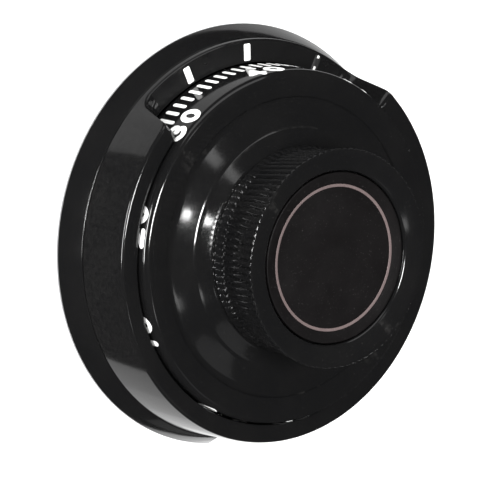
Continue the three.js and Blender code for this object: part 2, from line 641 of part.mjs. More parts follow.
buildBaseRing();
buildHousing();
buildMarks();
buildBack();
buildGlands();
buildDrum();
buildKnob();
buildButton();
buildSpindle();
buildPlates();
buildTrain();
buildEscapement();
buildSwitches();

export default timer;
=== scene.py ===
"""The looks of a round enlarger timer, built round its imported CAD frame.

Metres, +Z along the dial's axis towards the knob, +Y towards 12 o'clock. Lengths are written in millimetres
and scaled by MM.
"""
import json
import math

import bmesh
import bpy
import numpy as np
from mathutils import Matrix, Vector


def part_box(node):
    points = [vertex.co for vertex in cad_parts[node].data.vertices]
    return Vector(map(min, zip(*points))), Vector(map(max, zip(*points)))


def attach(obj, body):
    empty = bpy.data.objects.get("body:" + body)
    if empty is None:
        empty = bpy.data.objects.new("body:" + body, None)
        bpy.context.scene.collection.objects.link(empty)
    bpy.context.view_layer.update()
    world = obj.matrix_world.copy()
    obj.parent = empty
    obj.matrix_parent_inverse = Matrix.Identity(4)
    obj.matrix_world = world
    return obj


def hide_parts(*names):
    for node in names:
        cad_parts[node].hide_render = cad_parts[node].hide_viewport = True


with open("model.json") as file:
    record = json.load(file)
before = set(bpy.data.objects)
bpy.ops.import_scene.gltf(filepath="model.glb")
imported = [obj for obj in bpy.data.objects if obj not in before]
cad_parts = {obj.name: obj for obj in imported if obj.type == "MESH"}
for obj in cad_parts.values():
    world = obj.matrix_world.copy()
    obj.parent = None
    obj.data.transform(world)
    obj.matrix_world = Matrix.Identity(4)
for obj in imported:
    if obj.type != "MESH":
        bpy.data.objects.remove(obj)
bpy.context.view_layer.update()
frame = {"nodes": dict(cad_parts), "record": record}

MM = 0.001
SCENE = bpy.context.scene


def box_mm(node):
    """The lowest and highest corner of a CAD node, in millimetres."""
    low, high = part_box(node)
    return low / MM, high / MM


# ---------------------------------------------------------------- driving dimensions, from the frame
FIT = 0.3  # gap between pieces that touch

RING_LOW, RING_HIGH = box_mm("base_ring")
RIM_RADIUS, RIM_TOP_Z = RING_HIGH.x, RING_HIGH.z
SHELL_LOW, SHELL_HIGH = box_mm("housing_shell")
COLLAR_RADIUS, LIP_INNER_Z = SHELL_HIGH.x, SHELL_HIGH.z
LIP_Z = LIP_INNER_Z - 0.05
LIP_RADIUS = COLLAR_RADIUS - 1.3
COVER_LOW, COVER_HIGH = box_mm("back_cover")
SKIRT_RADIUS = COLLAR_RADIUS - 4.2
MARK_LOW, MARK_HIGH = box_mm("index_mark_centre")
FLOOR_Z = MARK_LOW.z
FLOOR_THICKNESS = 2.4
UNDERSIDE_Z = FLOOR_Z - FLOOR_THICKNESS
PODIUM_Z = box_mm("movement_rear_plate")[0].z
SKIRT_WALL = 4
SCREW_HOLE_RADIUS = 1.5

DRUM_LOW, DRUM_HIGH = box_mm("dial_drum")
DRUM_RADIUS = DRUM_HIGH.x
DISC_SEAT_Z = DRUM_HIGH.z
DISC_EDGE_Z = DISC_SEAT_Z - 4.6
DRUM_FACE_Z = DISC_EDGE_Z + 0.4
DRUM_EDGE_ROUND = 2.4
LIP_INNER_RADIUS = DRUM_RADIUS + 0.8

KNOB_LOW, KNOB_HIGH = box_mm("knob")
KNOB_RADIUS, KNOB_Z = KNOB_HIGH.x, KNOB_HIGH.z
KNOB_FOOT_RADIUS = KNOB_RADIUS - 1.8
KNOB_WAIST_RADIUS, KNOB_WAIST_HEIGHT = KNOB_RADIUS - 2.9, 3.2
CAP_LOW, CAP_HIGH = box_mm("button_cap")
TRIM_LOW, TRIM_HIGH = box_mm("cap_ring")
TRIM_WIDTH = 1.05
TRIM_GROOVE = 1.35

WINDOW_HALF_FLOOR = 41  # degrees from 12 o'clock, at the floor
WINDOW_HALF_LIP = 45.2
WINDOW_FOOT_ROUND, WINDOW_HEAD_ROUND = 7.3, 3.2
NOTCH_HALF_LOW, NOTCH_HALF_HIGH = 11.2, 14.5  # at 1 mm below and 1 mm above the foot ring

DIVISIONS = 100
FIRST_TICK_ANGLE = 238.5  # the tick at 0, counter-clockwise from 3 o'clock
LAST_TICK = 97
FIGURE_HEIGHT, FIGURE_WIDTH = 9.0, 7.0
ZERO_WIDTH = 6.6
FIGURE_GAP = 1.2
FIGURE_SHIFT = 0.3  # the figures stand this far clockwise of their divisions
STROKE = 2.15
FIGURE_BACK_Z = 23.9
TICK_WIDTH = 1.5
TICK_BACK_Z = 15.2
TICK_FRONT_Z = {1: 22.3, 5: 23.0, 10: 23.6}
PAINT = 0.05  # thickness of the paint over the moulding
PAINT_ROOT = 0.1  # how far a painted figure is set into the moulding

ROUND_STEPS = 240  # columns round a turned piece
FLUTES = 90
FLUTE_DEPTH = 0.7

SPRING_RADIUS, SPRING_WIRE, SPRING_TURNS = 10, 0.9, 4
BUTTON_TRAVEL = 2.5


# ---------------------------------------------------------------- mesh helpers
def rounded(corners, detail=5):
    """The points of an outline from its corners. A corner is (a, b) or (a, b, rounding radius)."""
    points = []
    for i, corner in enumerate(corners):
        here = Vector(corner[:2])
        if len(corner) == 2:
            points.append(here)
            continue
        back = (Vector(corners[i - 1][:2]) - here).normalized()
        ahead = (Vector(corners[(i + 1) % len(corners)][:2]) - here).normalized()
        half = back.angle(ahead) / 2
        centre = here + (back + ahead).normalized() * corner[2] / math.sin(half)
        start = here + back * corner[2] / math.tan(half) - centre
        end = here + ahead * corner[2] / math.tan(half) - centre
        turn = math.atan2(start.x * end.y - start.y * end.x, start.dot(end))
        for k in range(detail + 1):
            points.append(centre + Matrix.Rotation(turn * k / detail, 2) @ start)
    return points


def on_axis(outline):
    return outline[0][0] == 0 and outline[-1][0] == 0


def polar(radius, degrees, z=0.0):
    return Vector((radius * math.cos(math.radians(degrees)), radius * math.sin(math.radians(degrees)), z))


def column(outline, degrees):
    return [polar(p[0], degrees, p[1]) for p in outline]


def skin(columns, wrap=True, poles=False):
    """A closed body through columns of points.

    With wrap it closes round the axis, and with poles its columns end on the axis.
    """
    body = bmesh.new()
    grid = [[body.verts.new(p * MM) for p in points] for points in columns]
    count = len(grid[0])
    for i in range(len(grid) if wrap else len(grid) - 1):
        a, b = grid[i], grid[(i + 1) % len(grid)]
        for j in range(count - 1 if poles else count):
            k = (j + 1) % count
            body.faces.new((a[j], b[j], b[k], a[k]))
    if not wrap:
        body.faces.new(grid[0])
        body.faces.new(list(reversed(grid[-1])))
    return body


def shade(mesh, sharp_degrees=32):
    mesh.shade_smooth()
    mesh.set_sharp_from_angle(angle=math.radians(sharp_degrees))


def to_object(name, body):
    """A linked object from a bmesh, with its doubled points merged."""
    bmesh.ops.remove_doubles(body, verts=body.verts, dist=1e-7)
    bmesh.ops.dissolve_degenerate(body, edges=body.edges, dist=1e-7)
    bmesh.ops.recalc_face_normals(body, faces=body.faces)
    mesh = bpy.data.meshes.new(name)
    body.to_mesh(mesh)
    body.free()
    shade(mesh)
    made = bpy.data.objects.new(name, mesh)
    SCENE.collection.objects.link(made)
    return made


def turned(name, outline, steps=ROUND_STEPS):
    """A body turned about the Z axis from its (radius, z) outline."""
    columns = [column(outline, 360 * i / steps) for i in range(steps)]
    return to_object(name, skin(columns, poles=on_axis(outline)))


def rod(name, radius, z0, z1, at=(0, 0), bevel=0.0, steps=48):
    """An upright cylinder between two heights, with its edges rounded where a bevel is given."""
    edge = (bevel,) if bevel else ()
    corners = [(0, z0), (radius, z0, *edge), (radius, z1, *edge), (0, z1)]
    made = turned(name, rounded(corners, 3), steps)
    made.data.transform(Matrix.Translation(Vector((at[0], at[1], 0)) * MM))
    return made


def prism(name, points, z0, z1):
    """A flat body from an outline of (x, y) points, between two heights."""
    return to_object(name, skin([[Vector((p[0], p[1], z)) for p in points] for z in (z0, z1)], wrap=False))


def rectangle(x0, x1, y0, y1, rounding=0.0):
    corners = [(x0, y0), (x1, y0), (x1, y1), (x0, y1)]
    return rounded([(*c, rounding) for c in corners], 4) if rounding else corners


def apply_modifiers(piece):
    graph = bpy.context.evaluated_depsgraph_get()
    piece.data = bpy.data.meshes.new_from_object(piece.evaluated_get(graph))
    piece.modifiers.clear()
    shade(piece.data)


def combine(piece, operation, tools):
    """Adds the tools to a piece or takes them from it. The tools are used up."""
    for tool in tools:
        modifier = piece.modifiers.new(operation, "BOOLEAN")
        modifier.operation = operation
        modifier.solver = "EXACT"
        modifier.object = tool
    apply_modifiers(piece)
    for tool in tools:
        bpy.data.objects.remove(tool)


def soften(piece, width, segments=2):
    """Rounds a piece's sharp edges by a few tenths of a millimetre."""
    modifier = piece.modifiers.new("edges", "BEVEL")
    modifier.width = width * MM
    modifier.segments = segments
    modifier.limit_method = "ANGLE"
    modifier.angle_limit = math.radians(35)
    modifier.use_clamp_overlap = True
    apply_modifiers(piece)


def finished(piece, body, material, slot, *nodes):
    """Gives a piece its material and body, and hides the CAD nodes that it stands for. The slot is not used.
    """
    piece.data.materials.clear()
    piece.data.materials.append(material)
    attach(piece, body)
    if nodes:
        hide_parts(*nodes)


# ---------------------------------------------------------------- materials
class Shader:
    """A Principled material with a few short ways to add procedural detail."""

    def __init__(self, name, colour, roughness, metallic=0.0, **constants):
        self.material = bpy.data.materials.new(name)
        self.material.use_nodes = True
        self.tree = self.material.node_tree
        self.surface = self.tree.nodes["Principled BSDF"]
        self.surface.inputs["Base Color"].default_value = (*colour, 1)
        self.surface.inputs["Roughness"].default_value = roughness
        self.surface.inputs["Metallic"].default_value = metallic
        for socket, value in constants.items():
            self.surface.inputs[socket.replace("_", " ")].default_value = value
        self.place = self.tree.nodes.new("ShaderNodeTexCoord").outputs["Object"]
        self.colour = tuple(colour)
        self.colour_from = None
        self.height_from = None

    def node(self, kind, **inputs):
        made = self.tree.nodes.new(kind)
        for socket, value in inputs.items():
            self.join(value, made.inputs[socket.replace("_", " ")])
        return made

    def join(self, value, socket):
        if isinstance(value, bpy.types.NodeSocket):
            self.tree.links.new(value, socket)
        else:
            socket.default_value = value

    def noise(self, size, detail=3.0, stretch=None, distortion=0.0):
        """Noise from 0 to 1 with blotches of about this size in millimetres."""
        place = self.place
        if stretch:
            place = self.node("ShaderNodeMapping", Vector=place, Scale=stretch).outputs[0]
        made = self.node("ShaderNodeTexNoise", Vector=place, Detail=detail, Distortion=distortion)
        made.inputs["Scale"].default_value = 1 / (size * MM)
        return made.outputs["Fac"]

    def levels(self, value, low, high, to_low=0.0, to_high=1.0):
        made = self.node("ShaderNodeMapRange", Value=value)
        made.inputs["From Min"].default_value = low
        made.inputs["From Max"].default_value = high
        made.inputs["To Min"].default_value = to_low
        made.inputs["To Max"].default_value = to_high
        return made.outputs[0]

    def multiply(self, a, b):
        made = self.tree.nodes.new("ShaderNodeMath")
        made.operation = "MULTIPLY"
        self.join(a, made.inputs[0])
        self.join(b, made.inputs[1])
        return made.outputs[0]

    def tint(self, mask, colour):
        """Lays another colour over the surface where the mask is high."""
        mixed = self.tree.nodes.new("ShaderNodeMix")
        mixed.data_type = "RGBA"
        self.join(mask, mixed.inputs["Factor"])
        under = self.colour_from if self.colour_from else (*self.colour, 1)
        self.join(under, mixed.inputs[6])
        mixed.inputs[7].default_value = (*colour, 1)
        self.colour_from = mixed.outputs[2]
        self.join(self.colour_from, self.surface.inputs["Base Color"])

    def roughness(self, value):
        self.join(value, self.surface.inputs["Roughness"])

    def bump(self, height, depth, strength=1.0):
        """Raises the surface by a height map, depth in millimetres."""
        made = self.node("ShaderNodeBump", Height=height, Distance=depth * MM, Strength=strength)
        if self.height_from:
            self.join(self.height_from, made.inputs["Normal"])
        self.height_from = made.outputs[0]
        self.join(self.height_from, self.surface.inputs["Normal"])

    def edges(self, low=0.52, high=0.6):
        """A mask that is high on outward edges, where handling wears them."""
        pointiness = self.tree.nodes.new("ShaderNodeNewGeometry").outputs["Pointiness"]
        return self.multiply(self.levels(pointiness, low, high), self.levels(self.noise(1.5, 5), 0.35, 0.7))


def black_plastic(name, roughness, grain=0.0, specular=0.5):
    """Polished black moulding: faint flow marks, dust and hairline scratches, and edges rubbed lighter."""
    shader = Shader(name, (0.0048, 0.0048, 0.005), roughness, Specular_IOR_Level=specular)
    shader.tint(shader.levels(shader.noise(14, 4), 0.4, 0.75, 0, 0.5), (0.0072, 0.007, 0.0069))
    dust = shader.levels(shader.noise(0.45, 2), 0.69, 0.76, 0, 0.35)
    shader.tint(dust, (0.06, 0.058, 0.055))
    shader.tint(shader.multiply(shader.edges(), 0.35), (0.035, 0.034, 0.033))
    scratches = shader.levels(shader.noise(2.2, 2, stretch=(1, 14, 3)), 0.66, 0.7)
    smears = shader.levels(shader.noise(9, 5, distortion=0.8), 0.3, 0.75, roughness * 0.8, roughness * 1.35)
    shader.roughness(smears)
    shader.bump(scratches, 0.004, 0.35)
    shader.bump(shader.noise(3.5, 2), 0.02, 0.35)
    if grain:
        shader.bump(shader.noise(0.5, 4), grain)
    return shader.material


def satin_plastic():
    """The start button's fine matt face."""
    shader = Shader("satin_black_plastic", (0.0042, 0.0037, 0.0038), 0.42, Specular_IOR_Level=0.12)
    shader.tint(shader.levels(shader.noise(11, 4), 0.35, 0.75, 0, 0.6), (0.0075, 0.0067, 0.0069))
    shader.tint(shader.levels(shader.noise(0.5, 2), 0.68, 0.75, 0, 0.4), (0.07, 0.066, 0.064))
    shader.roughness(shader.levels(shader.noise(7, 5), 0.3, 0.75, 0.36, 0.5))
    shader.bump(shader.noise(0.35, 3), 0.012, 0.6)
    return shader.material


def metal(name, colour, roughness, tarnish, brush=(1, 1, 12), metallic=1.0):
    """Machined metal: fine tool marks along one direction and a little tarnish."""
    shader = Shader(name, colour, roughness, metallic=metallic)
    shader.tint(shader.levels(shader.noise(5, 5), 0.45, 0.8, 0, 0.3), tarnish)
    shader.roughness(shader.levels(shader.noise(1.2, 4), 0.3, 0.75, roughness * 0.75, roughness * 1.35))
    shader.bump(shader.noise(0.9, 3, stretch=brush), 0.01, 0.5)
    return shader.material


def white_paint():
    """Filled white figures: slightly uneven, soiled in places."""
    shader = Shader("white_paint", (0.94, 0.94, 0.93), 0.42)
    shader.tint(shader.levels(shader.noise(1.6, 5), 0.5, 0.8, 0, 0.35), (0.8, 0.79, 0.76))
    shader.roughness(shader.levels(shader.noise(0.8, 3), 0.3, 0.7, 0.36, 0.55))
    shader.bump(shader.noise(0.6, 4), 0.015, 0.5)
    return shader.material


def worn_paint():
    """An engraved mark whose white filling is left only at its two ends, and narrower than the mark."""
    shader = Shader("worn_white_paint", (0.012, 0.012, 0.012), 0.5)
    paint = (0.85, 0.85, 0.83)
    ragged_edge = 1.6 * MM
    flat = shader.node("ShaderNodeVectorMath", Vector=shader.place)
    flat.operation = "MULTIPLY"
    flat.inputs[1].default_value = (1, 1, 0)
    reach = shader.tree.nodes.new("ShaderNodeVectorMath")
    reach.operation = "LENGTH"
    shader.join(flat.outputs[0], reach.inputs[0])
    ragged = shader.tree.nodes.new("ShaderNodeMath")
    ragged.operation = "MULTIPLY_ADD"
    shader.join(shader.noise(1.1, 4), ragged.inputs[0])
    ragged.inputs[1].default_value = ragged_edge
    shader.join(reach.outputs["Value"], ragged.inputs[2])
    middle = (MARK_LOW.y + MARK_HIGH.y) / 2 * MM + ragged_edge / 2
    across = shader.tree.nodes.new("ShaderNodeVectorMath")
    across.operation = "DOT_PRODUCT"
    low, high = box_mm("index_mark_right")
    side = Vector((-(low.y + high.y), low.x + high.x, 0)).normalized()
    shader.join(shader.place, across.inputs[0])
    across.inputs[1].default_value = side
    left = shader.levels(across.outputs["Value"], -0.0006, -0.0003)
    right = shader.levels(across.outputs["Value"], 0.0006, 0.0003)
    narrow = shader.multiply(left, right)
    outer_end = shader.levels(ragged.outputs[0], middle + 0.0019, middle + 0.0022)
    inner_end = shader.levels(ragged.outputs[0], middle - 0.001, middle - 0.0013)
    shader.tint(shader.multiply(outer_end, narrow), paint)
    shader.tint(shader.multiply(inner_end, narrow), paint)
    shader.roughness(shader.levels(shader.noise(0.8, 3), 0.3, 0.7, 0.36, 0.55))
    shader.bump(shader.noise(0.6, 4), 0.02, 0.5)
    return shader.material


def rubber():
    shader = Shader("black_rubber", (0.018, 0.018, 0.018), 0.8, Specular_IOR_Level=0.3)
    shader.tint(shader.levels(shader.noise(1.8, 5), 0.5, 0.8, 0, 0.6), (0.045, 0.043, 0.04))
    shader.roughness(shader.levels(shader.noise(1.1, 3), 0.3, 0.7, 0.7, 0.92))
    shader.bump(shader.noise(0.4, 4), 0.03, 0.7)
    return shader.material


def phenolic():
    """Laminated insulating board: a brown ground with fine cloth flecks."""
    shader = Shader("brown_phenolic", (0.042, 0.024, 0.014), 0.5)
    weave = shader.noise(0.35, 3, stretch=(1, 6, 1))
    shader.tint(shader.levels(weave, 0.45, 0.75, 0, 0.7), (0.09, 0.052, 0.028))
    shader.roughness(shader.levels(shader.noise(2.5, 3), 0.3, 0.7, 0.42, 0.6))
    shader.bump(weave, 0.02, 0.5)
    return shader.material


GLOSS = black_plastic("gloss_black_moulding", 0.09)
FLOOR_BLACK = black_plastic("satin_black_moulding", 0.32, specular=0.2)
COVER_PLASTIC = black_plastic("matt_black_moulding", 0.42, grain=0.03)
SATIN = satin_plastic()
TRIM_METAL = metal("trim_ring_metal", (0.155, 0.116, 0.114), 0.5, (0.125, 0.09, 0.087), metallic=0.35)
PAINT_WHITE = white_paint()
PAINT_WORN = worn_paint()
RUBBER = rubber()
BRASS = metal("movement_brass", (0.62, 0.42, 0.16), 0.32, (0.28, 0.17, 0.07), brush=(1, 14, 1))
STEEL = metal("bright_steel", (0.48, 0.48, 0.49), 0.28, (0.24, 0.22, 0.2))
PHENOLIC = phenolic()


# ---------------------------------------------------------------- housing
def notch_half(z):
    """Half of the cable notch's width at a height."""
    return NOTCH_HALF_LOW + (NOTCH_HALF_HIGH - NOTCH_HALF_LOW) * (z + 1) / (RIM_TOP_Z + 2)


def build_base_ring():
    """The flared foot ring. It is a C, open at 6 o'clock for the leads."""
    outline = rounded([
        (71.8, RING_LOW.z, 0.3), (RIM_RADIUS, RING_LOW.z, 0.35), (RIM_RADIUS - 3.95, RIM_TOP_Z, 0.3),
        (SKIRT_RADIUS + 0.4, RIM_TOP_Z), (SKIRT_RADIUS + 0.4, RIM_TOP_Z - 2), (68.4, RIM_TOP_Z - 2),
    ])
    columns = []
    for i in range(ROUND_STEPS + 1):
        points = []
        for radius, z in outline:
            gap = math.degrees(math.asin(notch_half(z) / radius))
            points.append(polar(radius, -90 + gap + (360 - 2 * gap) * i / ROUND_STEPS, z))
        columns.append(points)
    ring = to_object("foot_ring", skin(columns, wrap=False))
    finished(ring, "housing", GLOSS, "black_moulding", "base_ring")


def wall_tops():
    """(angle, height) of the housing wall all the way round, with the window's sloping, rounded ends."""
    radius = (LIP_RADIUS + LIP_INNER_RADIUS) / 2
    low, high = (math.radians(a) * radius for a in (WINDOW_HALF_FLOOR, WINDOW_HALF_LIP))
    end = rounded([
        (low - 8, FLOOR_Z),
        (low, FLOOR_Z, WINDOW_FOOT_ROUND),
        (high, LIP_Z, WINDOW_HEAD_ROUND),
        (high + 8, LIP_Z),
    ], 14)
    ramp = [(math.degrees(x / radius), z) for x, z in end]
    inside, outside = ramp[0][0], ramp[-1][0]
    tops = [(90 + a, z) for a, z in ramp]
    around = 360 - 2 * outside
    steps = round(around / 360 * ROUND_STEPS)
    tops += [(90 + outside + around * i / steps, LIP_Z) for i in range(1, steps)]
    tops += [(450 - a, z) for a, z in reversed(ramp)]
    steps = round(2 * inside / 360 * ROUND_STEPS)
    tops += [(450 - inside + 2 * inside * i / steps, FLOOR_Z) for i in range(1, steps)]
    return tops


def collar_radius(z):
    """The collar's outside radius at a height: it leans in a little from the foot ring to the lip."""
    return COLLAR_RADIUS - (COLLAR_RADIUS - LIP_RADIUS) * (z - RIM_TOP_Z) / (LIP_Z - RIM_TOP_Z)


def housing_outline(top):
    """The housing's section where its wall ends at this height."""
    bore, podium = 7.3, 52
    skirt_inside = SKIRT_RADIUS - SKIRT_WALL
    share = (top - FLOOR_Z) / (LIP_Z - FLOOR_Z)
    inner_top = top + share * (LIP_INNER_Z - LIP_Z)
    points = rounded([
        (bore, PODIUM_Z - FLOOR_THICKNESS), (podium - 3, PODIUM_Z - FLOOR_THICKNESS),
        (podium - 2, UNDERSIDE_Z), (skirt_inside, UNDERSIDE_Z),
        (skirt_inside, SHELL_LOW.z), (SKIRT_RADIUS, SHELL_LOW.z), (SKIRT_RADIUS, RIM_TOP_Z + FIT),
        (COLLAR_RADIUS, RIM_TOP_Z + FIT), (collar_radius(top), top, 1.1),
        (LIP_INNER_RADIUS, inner_top, 0.3), (LIP_INNER_RADIUS, top - 3),
    ])[:-1]
    section = []
    for radius, z in points:
        above_floor = radius < LIP_INNER_RADIUS + 0.5 and z > UNDERSIDE_Z
        section.append((radius, max(z, FLOOR_Z) if above_floor else z))
    section += [(LIP_INNER_RADIUS, FLOOR_Z), (podium + 1, FLOOR_Z), (podium, PODIUM_Z), (bore, PODIUM_Z)]
    return section


def screw_places():
    """The (x, y) of each cover screw."""
    return [(sum(b, Vector()) / 2).xy for b in (box_mm(f"cover_screw_{i}") for i in range(1, 5))]


def gland_boxes():
    return {name: box_mm("cable_gland_" + name) for name in ("mains", "lamp")}


def build_housing():
    """The housing shell, with its screw bosses and the two ways for the glands, and its duller floor."""
    columns = [column(housing_outline(top), angle) for angle, top in wall_tops()]
    shell = to_object("housing_wall", skin(columns))
    bosses = []
    pilots = []
    for at in screw_places():
        bosses.append(rod("boss", 3.6, SHELL_LOW.z, UNDERSIDE_Z + 0.5, at, steps=32))
        pilots.append(rod("pilot", SCREW_HOLE_RADIUS, SHELL_LOW.z - 1, UNDERSIDE_Z - 0.8, at, steps=24))
    ways = []
    for low, high in gland_boxes().values():
        x, z = (low.x + high.x) / 2, (low.z + high.z) / 2
        ways.append(prism("way", rectangle(x - 4.3, x + 4.3, -70, -55), z - 2.9, z + 2.9))
    combine(shell, "UNION", bosses)
    combine(shell, "DIFFERENCE", pilots + ways)
    finished(shell, "housing", GLOSS, "black_moulding", "housing_shell")
    shell.data.materials.append(FLOOR_BLACK)
    for face in shell.data.polygons:
        if abs(face.center.z / MM - FLOOR_Z) < 0.05 and face.normal.z > 0.9:
            face.material_index = 1


def build_marks():
    """The three white index marks inlaid in the floor of the window."""
    for side in ("left", "centre", "right"):
        low, high = box_mm("index_mark_" + side)
        middle = (low + high) / 2
        half = (MARK_HIGH - MARK_LOW) / 2
        outline = rectangle(-half.x, half.x, -half.y, half.y, 0.45)
        mark = prism("index_" + side, outline, FLOOR_Z - 0.1, FLOOR_Z + 0.18)
        soften(mark, 0.08)
        turn = Matrix.Rotation(math.atan2(-middle.x, middle.y), 4, "Z")
        mark.data.transform(Matrix.Translation(Vector((middle.x, middle.y, 0)) * MM) @ turn)
        paint = PAINT_WORN if side == "right" else PAINT_WHITE
        finished(mark, "housing", paint, "white_enamel", "index_mark_" + side)


def build_cover():
    """The back cover, its countersunk screws and its rubber feet."""
    base, top = COVER_LOW.z, box_mm("start_switch")[0].z
    rib = SKIRT_RADIUS + 0.5
    outline = rounded([
        (0, base), (COVER_HIGH.x, base, 0.6), (COVER_HIGH.x, top, 0.3), (rib + 1, top),
        (rib + 1, COVER_HIGH.z, 0.3), (rib, COVER_HIGH.z, 0.3), (rib, top), (0, top),
    ], 3)
    cover = turned("cover", outline)
    notch = [(-notch_half(-1), -1), (notch_half(-1), -1), (notch_half(11), 11), (-notch_half(11), 11)]
    tool = prism("notch", notch, 0, 16)
    stand = Matrix.Rotation(math.pi / 2, 4, "X")
    tool.data.transform(Matrix.Translation((0, (1 - SKIRT_RADIUS) * MM, 0)) @ stand)
    tools = [tool]
    for at in screw_places():
        tools.append(rod("hole", SCREW_HOLE_RADIUS, 0, 5, at))
        tools.append(rod("sink", 3.1, 0, base + 1.3, at))
    combine(cover, "DIFFERENCE", tools)
    finished(cover, "housing", COVER_PLASTIC, "black_cover", "back_cover")
    for i, at in enumerate(screw_places(), 1):
        screw = rod(f"cover_fixing_{i}", 2.8, base + 0.1, base + 1.2, at, bevel=0.2)
        shank = rod("shank", SCREW_HOLE_RADIUS - FIT, base + 1, UNDERSIDE_Z - 1.2, at, steps=24)
        slot = prism("slot", rectangle(-3, 3, -0.4, 0.4), base - 0.1, base + 0.6)
        turn = Matrix.Rotation(math.radians(35 + 50 * i), 4, "Z")
        slot.data.transform(Matrix.Translation(Vector((at[0], at[1], 0)) * MM) @ turn)
        combine(screw, "UNION", [shank])
        combine(screw, "DIFFERENCE", [slot])
        finished(screw, "housing", STEEL, "steel", f"cover_screw_{i}")
        low, high = box_mm(f"foot_{i}")
        middle = (low + high) / 2
        foot = turned(f"rubber_foot_{i}", rounded([
            (0, 0.25), (2.6, 0.25, 0.2), (3.1, 0, 0.2), (4.6, 0, 0.5), (5, high.z, 0.1), (0, high.z),
        ], 4), 48)
        foot.data.transform(Matrix.Translation(Vector((middle.x, middle.y, 0)) * MM))
        finished(foot, "housing", RUBBER, "rubber", f"foot_{i}")


def build_glands():
    """The two rubber glands that the leads would pass through, set in the skirt behind the notch."""
    for name, (low, high) in gland_boxes().items():
        x, z = (low.x + high.x) / 2, (low.z + high.z) / 2
        stand = Matrix.Translation(Vector((x, 0, z)) * MM) @ Matrix.Rotation(math.pi / 2, 4, "X")
        flange_back = SKIRT_RADIUS + FIT
        body = prism("gland_" + name, rectangle(-4, 4, -2.6, 2.6, 1.2), -high.y - 0.1, flange_back + 0.05)
        flange = prism("flange", rectangle(-5.2, 5.2, -3, 3, 1.6), flange_back, -low.y)
        way = prism("way", rectangle(-2.7, 2.7, -1.7, 1.7, 1.2), 50, 80)
        combine(body, "UNION", [flange])
        combine(body, "DIFFERENCE", [way])
        soften(body, 0.25)
        body.data.transform(stand)
        finished(body, "housing", RUBBER, "rubber", "cable_gland_" + name)


# ---------------------------------------------------------------- dial
def bowl(r0, r1, z0, slope0, slope1, steps=8):
    """Outline points from radius r0 in to r1, rising at a slope that changes evenly between two angles."""
    points = [(r0, z0)]
    for i in range(steps):
        slope = math.radians(slope0 + (slope1 - slope0) * (i + 0.5) / steps)
        run = (r0 - r1) / steps
        points.append((points[-1][0] - run, points[-1][1] + run * math.tan(slope)))
    return points


def build_drum():
    """The dial's drum with its rounded front edge, and its disc, which rises in two cones to the knob."""
    wall, bore = 2.5, 4.3
    disc = 2.9
    outer_dish = bowl(50.8, 42.5, DISC_EDGE_Z - 0.3, 16.5, 21.2)
    inner_dish = bowl(41.9, 37, DISC_EDGE_Z + 2.85, 18, 20)
    outline = rounded([
        (DRUM_RADIUS - wall, DRUM_LOW.z), (DRUM_RADIUS, DRUM_LOW.z, 0.2),
        (DRUM_RADIUS, DRUM_FACE_Z, DRUM_EDGE_ROUND),
        (53.1, DISC_EDGE_Z, 0.25), (52.6, DISC_EDGE_Z - 0.5, 0.2),
        *outer_dish, (42.3, inner_dish[0][1] - 0.1, 0.03), *inner_dish,
        (36.6, DISC_SEAT_Z), (bore, DISC_SEAT_Z), (bore, DISC_SEAT_Z - disc), (36, DISC_SEAT_Z - disc),
        (50, DISC_EDGE_Z - wall), (57.5, DISC_EDGE_Z - wall), (DRUM_RADIUS - wall, DISC_EDGE_Z - 4),
    ], 8)
    drum = turned("drum", outline, 360)
    finished(drum, "dial", GLOSS, "black_moulding", "dial_drum")


def line(*points):
    """A stroke's points, given one by one."""
    return np.array(points, float)


def arc(x, y, rx, ry, start, end):
    """Points on part of an ellipse, from one angle to another in degrees."""
    angles = np.radians(np.linspace(start, end, 25))
    return np.stack([x + rx * np.cos(angles), y + ry * np.sin(angles)], 1)


def figure_strokes():
    """The centre lines of the ten figures, each in a cell of its own width by FIGURE_HEIGHT."""
    edge = STROKE / 2
    left, right = edge, FIGURE_WIDTH - edge
    bottom, top = edge, FIGURE_HEIGHT - edge
    mid = FIGURE_WIDTH / 2
    half = (right - left) / 2
    zero = arc(ZERO_WIDTH / 2, FIGURE_HEIGHT / 2, (ZERO_WIDTH - STROKE) / 2, (top - bottom) / 2, 0, 360)
    two = [arc(mid, top - 2.2, half - 0.1, 2.2, 165, -35), line((left, bottom), (right, bottom))]
    three = [
        arc(mid - 0.2, top - 1.75, half - 0.35, 1.75, 155, -75),
        arc(mid - 0.2, bottom + 2, half - 0.05, 2, 80, -155),
    ]
    four = line((right - 1.4, bottom), (right - 1.4, top), (left, bottom + 2.3), (right + 0.2, bottom + 2.3))
    five = [
        line((right - 0.3, top), (left + 0.6, top), (left + 0.3, top - 3)),
        arc(mid - 0.1, bottom + 2.3, half, 2.3, 125, -150),
    ]
    six = [
        arc(mid, bottom + 2.25, half, 2.25, 0, 360),
        arc(right + 0.2, bottom + 2.6, right - left + 0.1, top - bottom - 2.5, 115, 180),
    ]
    nine = [np.array([FIGURE_WIDTH, FIGURE_HEIGHT]) - s for s in six]
    return {
        "0": [zero],
        "1": [line((mid - 1.2, top - 1.5), (mid + 0.9, top), (mid + 0.9, bottom))],
        "2": [np.concatenate(two)],
        "3": three,
        "4": [four],
        "5": [np.concatenate(five)],
        "6": six,
        "7": [line((left, top), (right, top), (mid - 0.9, bottom))],
        "8": [arc(mid, top - 1.75, half - 0.4, 1.75, 0, 360), arc(mid, bottom + 2, half, 2, 0, 360)],
        "9": nine,
    }


def distance_to(strokes, x, y):
    """Distance from each grid point to the nearest stroke."""
    best = np.full(x.shape, 1e9)
    for points in strokes:
        for (ax, ay), (bx, by) in zip(points[:-1], points[1:]):
            dx, dy = bx - ax, by - ay
            t = np.clip(((x - ax) * dx + (y - ay) * dy) / max(dx * dx + dy * dy, 1e-9), 0, 1)
            best = np.minimum(best, np.hypot(x - ax - t * dx, y - ay - t * dy))
    return best


